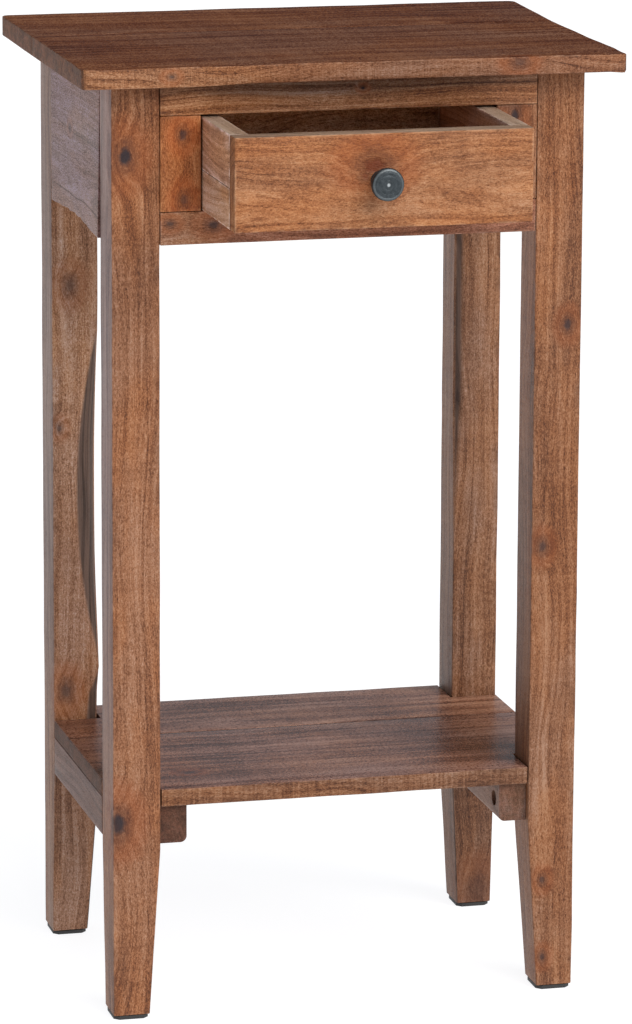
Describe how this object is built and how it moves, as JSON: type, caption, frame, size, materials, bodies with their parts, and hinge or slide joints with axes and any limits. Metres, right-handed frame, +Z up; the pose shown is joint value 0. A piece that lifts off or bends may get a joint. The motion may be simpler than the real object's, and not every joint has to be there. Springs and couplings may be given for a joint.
{
  "type": "side table with drawer",
  "caption": "Narrow solid wood side table: tapered legs, overhanging two-board top, low shelf, and one drawer with a round iron knob, shown drawn out.",
  "frame": {"origin": "on the floor, under the middle of the whole table as it stands with its drawer drawn out by 103.5 mm; the middle of the leg frame is 51 mm behind it, at x = 0", "axes": "+Z up, +Y to the back of the table, +X to the right as seen from the front; the drawer opens along -Y"},
  "size_m": [0.426, 0.415, 0.75],
  "materials": {
    "top_wood": "dark brown stain, satin wax",
    "leg_wood": "warm brown stain, satin wax, worn edges",
    "apron_wood": "grey-brown stain, satin wax",
    "rail_wood": "warm brown stain, satin wax",
    "inner_wood": "plain, unwaxed",
    "shelf_wood": "grey-brown stain, satin wax",
    "stretcher_wood": "brown stain, satin wax",
    "drawer_front_wood": "warm orange-brown stain, satin wax",
    "drawer_side_wood": "pale grey-brown, thinly stained",
    "panel_wood": "thin plywood, plain",
    "knob_iron": "dark blackened iron, satin",
    "blackened_steel": "blackened steel",
    "plain_steel": "zinc plated steel",
    "glide_plastic": "black moulded plastic"
  },
  "bodies": {
    "root": {"back_apron": "apron_wood", "cleat_bolts": "blackened_steel", "drawer_guide_left": "inner_wood", "drawer_guide_right": "inner_wood", "drawer_kicker_left": "inner_wood", "drawer_kicker_right": "inner_wood", "drawer_runner_left": "inner_wood", "drawer_runner_right": "inner_wood", "drawer_stop_left": "inner_wood", "drawer_stop_right": "inner_wood", "foot_nails": "plain_steel", "foot_pad_back_left": "glide_plastic", "foot_pad_back_right": "glide_plastic", "foot_pad_front_left": "glide_plastic", "foot_pad_front_right": "glide_plastic", "guide_nails": "plain_steel", "leg_back_left": "leg_wood", "leg_back_right": "leg_wood", "leg_front_left": "leg_wood", "leg_front_right": "leg_wood", "leg_inserts": "blackened_steel", "lower_front_rail": "rail_wood", "shelf_board_back": "shelf_wood", "shelf_board_front": "shelf_wood", "shelf_cleat_left": "stretcher_wood", "shelf_cleat_right": "stretcher_wood", "shelf_screws": "plain_steel", "shelf_stretcher_left": "stretcher_wood", "shelf_stretcher_right": "stretcher_wood", "side_apron_left": "apron_wood", "side_apron_right": "apron_wood", "stile_left": "rail_wood", "stile_right": "rail_wood", "stop_nails": "plain_steel", "top_board_back": "top_wood", "top_board_front": "top_wood", "top_screws": "plain_steel", "upper_front_rail": "rail_wood"},
    "drawer": {"drawer_back": "drawer_side_wood", "drawer_bottom": "panel_wood", "drawer_bottom_nails": "plain_steel", "drawer_dowels": "inner_wood", "drawer_front": "drawer_front_wood", "drawer_side_left_lower_board": "drawer_side_wood", "drawer_side_left_upper_board": "drawer_side_wood", "drawer_side_nails": "plain_steel", "drawer_side_right_lower_board": "drawer_side_wood", "drawer_side_right_upper_board": "drawer_side_wood", "knob": "knob_iron", "knob_screw": "blackened_steel"}
  },
  "joints": [
    {"name": "drawer_slide", "type": "slide", "parent": "root", "child": "drawer", "axis": [0, -1, 0], "range_m": [-0.1035, 0.07]}
  ]
}
